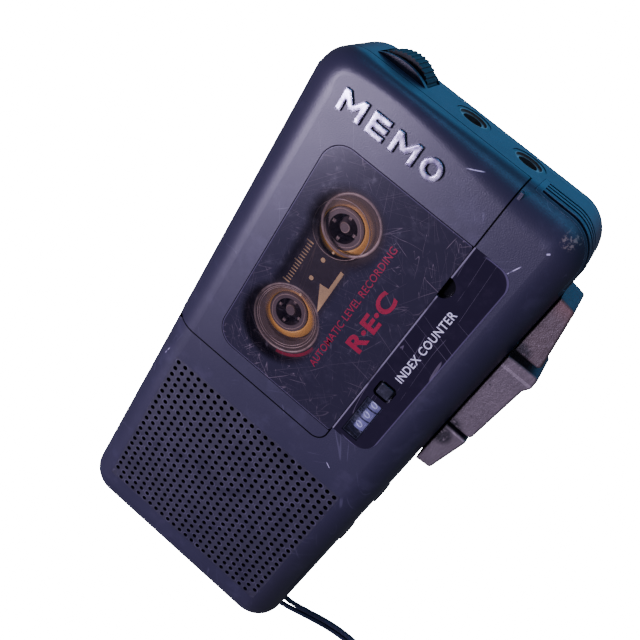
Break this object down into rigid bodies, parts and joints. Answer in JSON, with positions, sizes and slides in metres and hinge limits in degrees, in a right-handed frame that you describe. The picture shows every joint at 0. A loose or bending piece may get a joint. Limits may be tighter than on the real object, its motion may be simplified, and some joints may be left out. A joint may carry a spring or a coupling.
{
  "type": "microcassette dictation machine",
  "caption": "Pocket dictation machine for microcassettes: slim rounded case, hinged cassette lid, tape counter, side keys, perforated speaker grille, jacks, volume wheel, wrist strap.",
  "frame": {"origin": "middle of the flat back, on the surface it lies on", "axes": "+X towards the side keys, +Y towards the head end with the jacks, +Z out of the front with the grille and the cassette lid"},
  "size_m": [0.0883, 0.1417, 0.0225],
  "materials": {
    "casing": "fine satin, dark slate blue",
    "grille": "satin, perforated",
    "smoked_window": "smoked, fine scratches",
    "clear_window": "clear",
    "gloss_black": "gloss",
    "key_plastic": "silver-brown paint, worn",
    "dark_plastic": "satin",
    "digit_plastic": "satin",
    "chrome_letters": "bright",
    "steel": "satin",
    "brass": "dull",
    "tape_shell": "translucent grey",
    "hub_plastic": "cream",
    "white_plastic": "satin",
    "rubber": "matt",
    "board": "resin board",
    "speaker_paper": "matt",
    "cell_wrap": "satin",
    "cord": "braided, dark navy"
  },
  "bodies": {
    "casing": {"front_cover": "casing", "rear_cover": "casing", "case_screws": "steel", "lid_hinge_pin": "steel", "speaker_grille": "grille", "counter_panel": "gloss_black", "counter_window": "clear_window", "counter_frame": "white_plastic", "key_latch_plate": "steel", "key_leaf_springs": "steel", "switch_bodies": "steel", "volume_control": "dark_plastic", "earphone_jack": "dark_plastic", "microphone_jack": "dark_plastic", "microphone_cover": "dark_plastic", "microphone_capsule": "steel", "cassette_shell": "tape_shell", "chassis_plate": "steel", "motor": "steel", "drive_belt": "rubber", "idler_post": "steel", "circuit_board": "board", "speaker": "speaker_paper", "battery_cells": "cell_wrap", "battery_contacts": "steel", "battery_springs": "steel", "strap_bar": "steel", "wrist_strap_cord": "cord", "wrist_strap_coil": "cord"},
    "cassette_lid": {"cassette_lid": "casing", "lid_lens": "smoked_window", "front_letters": "chrome_letters"},
    "battery_door": {"battery_door": "casing"},
    "record_key": {"record_key": "key_plastic"},
    "play_key": {"play_key": "key_plastic"},
    "stop_key": {"stop_key": "key_plastic"},
    "speed_knob": {"speed_switch_knob": "dark_plastic"},
    "voice_knob": {"voice_switch_knob": "dark_plastic"},
    "reset_button": {"counter_reset_button": "dark_plastic"},
    "counter_hundreds": {"counter_wheel_hundreds": "digit_plastic"},
    "counter_tens": {"counter_wheel_tens": "digit_plastic"},
    "counter_units": {"counter_wheel_units": "digit_plastic"},
    "volume_wheel": {"volume_wheel": "dark_plastic"},
    "supply_reel": {"supply_tape_hub": "hub_plastic", "supply_spindle": "white_plastic"},
    "take_up_reel": {"take_up_tape_hub": "hub_plastic", "take_up_spindle": "white_plastic"},
    "flywheel": {"flywheel": "brass"},
    "motor_pulley": {"motor_pulley": "brass"},
    "idler_wheel": {"idler_wheel": "rubber"},
    "head_carriage": {"head_carriage": "steel", "record_play_head": "steel", "erase_head": "dark_plastic"},
    "pinch_roller": {"pinch_roller": "rubber"}
  },
  "joints": [
    {"name": "lid_hinge", "type": "hinge", "parent": "casing", "child": "cassette_lid", "pos_m": [-0.0257, 0.024, 0.01805], "axis": [0, -1, 0], "range_deg": [0, 85]},
    {"name": "battery_door_slide", "type": "slide", "parent": "casing", "child": "battery_door", "axis": [0, -1, 0], "range_m": [0, 0.056]},
    {"name": "record_key_press", "type": "slide", "parent": "casing", "child": "record_key", "axis": [-1, 0, 0], "range_m": [0, 0.0022], "stiffness_N_per_m": 250, "springref_m": -0.0004},
    {"name": "play_key_press", "type": "slide", "parent": "casing", "child": "play_key", "axis": [-1, 0, 0], "range_m": [0, 0.0022], "stiffness_N_per_m": 250, "springref_m": -0.0004},
    {"name": "stop_key_press", "type": "slide", "parent": "casing", "child": "stop_key", "axis": [-1, 0, 0], "range_m": [0, 0.0022], "stiffness_N_per_m": 250, "springref_m": -0.0004},
    {"name": "head_carriage_slide", "type": "slide", "parent": "casing", "child": "head_carriage", "axis": [-1, 0, 0], "range_m": [0, 0.0022]},
    {"name": "speed_switch_slide", "type": "slide", "parent": "casing", "child": "speed_knob", "axis": [0, -1, 0], "range_m": [0, 0.002]},
    {"name": "voice_switch_slide", "type": "slide", "parent": "casing", "child": "voice_knob", "axis": [0, -1, 0], "range_m": [0, 0.002]},
    {"name": "reset_press", "type": "slide", "parent": "casing", "child": "reset_button", "axis": [0, 0, -1], "range_m": [0, 0.0008], "stiffness_N_per_m": 60, "springref_m": -0.0004},
    {"name": "volume_turn", "type": "hinge", "parent": "casing", "child": "volume_wheel", "pos_m": [-0.0152, 0.0552, 0.0105], "axis": [0, 0, 1], "range_deg": [-135, 135]},
    {"name": "flywheel_spin", "type": "hinge", "parent": "casing", "child": "flywheel", "pos_m": [0.0093, 0.0334, 0.0075], "axis": [0, 0, 1], "continuous": true},
    {"name": "motor_pulley_spin", "type": "hinge", "parent": "casing", "child": "motor_pulley", "pos_m": [-0.0139, 0.006, 0.008], "axis": [0, 0, 1], "continuous": true},
    {"name": "idler_spin", "type": "hinge", "parent": "casing", "child": "idler_wheel", "pos_m": [-0.0015, 0.0226, 0.009], "axis": [0, 0, 1], "continuous": true},
    {"name": "supply_reel_spin", "type": "hinge", "parent": "casing", "child": "supply_reel", "pos_m": [-0.0081, 0.0124, 0.009], "axis": [0, 0, 1], "continuous": true},
    {"name": "take_up_reel_spin", "type": "hinge", "parent": "casing", "child": "take_up_reel", "pos_m": [-0.0081, 0.0328, 0.009], "axis": [0, 0, 1], "continuous": true},
    {"name": "counter_units_spin", "type": "hinge", "parent": "casing", "child": "counter_units", "pos_m": [0.01505, 0.00985, 0.0172], "axis": [0, -1, 0], "continuous": true},
    {"name": "counter_tens_spin", "type": "hinge", "parent": "casing", "child": "counter_tens", "pos_m": [0.01505, 0.00715, 0.0172], "axis": [0, -1, 0], "continuous": true},
    {"name": "counter_hundreds_spin", "type": "hinge", "parent": "casing", "child": "counter_hundreds", "pos_m": [0.01505, 0.00445, 0.0172], "axis": [0, -1, 0], "continuous": true},
    {"name": "pinch_roller_spin", "type": "hinge", "parent": "head_carriage", "child": "pinch_roller", "pos_m": [0.0154, 0.0334, 0.014], "axis": [0, 0, 1], "continuous": true}
  ],
  "couplings": [
    {"joint": "head_carriage_slide", "follows": "play_key_press", "ratio": 1},
    {"joint": "motor_pulley_spin", "follows": "flywheel_spin", "ratio": 5.9375},
    {"joint": "idler_spin", "follows": "flywheel_spin", "ratio": -1.5041},
    {"joint": "supply_reel_spin", "follows": "flywheel_spin", "ratio": 1.5167},
    {"joint": "take_up_reel_spin", "follows": "flywheel_spin", "ratio": 1.5167},
    {"joint": "counter_units_spin", "follows": "flywheel_spin", "ratio": 0.3033},
    {"joint": "counter_tens_spin", "follows": "flywheel_spin", "ratio": 0.0303},
    {"joint": "counter_hundreds_spin", "follows": "flywheel_spin", "ratio": 0.00303}
  ]
}
